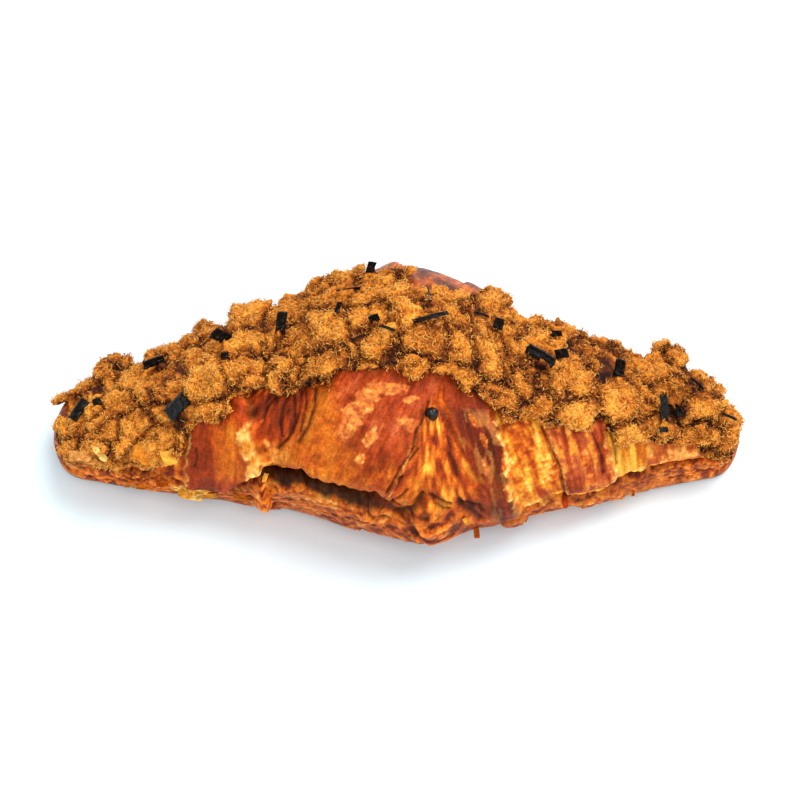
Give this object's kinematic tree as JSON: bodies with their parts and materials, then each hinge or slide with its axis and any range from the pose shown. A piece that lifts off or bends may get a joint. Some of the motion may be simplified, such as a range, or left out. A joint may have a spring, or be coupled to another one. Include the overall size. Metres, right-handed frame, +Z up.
{
  "type": "pork floss croissant",
  "caption": "Baked croissant with blunt tips and flaky wrapped layers, its crest heaped with golden pork floss and nori flakes.",
  "frame": {"origin": "middle of the footprint, on the table", "axes": "+X along the croissant, +Y to its back, +Z up"},
  "size_m": [0.1802, 0.079, 0.0563],
  "materials": {
    "baked_crust": "satin",
    "pork_floss": "fibrous",
    "nori": "glossy"
  },
  "bodies": {
    "root": {"croissant": "baked_crust", "pork_floss": "pork_floss"}
  },
  "joints": []
}
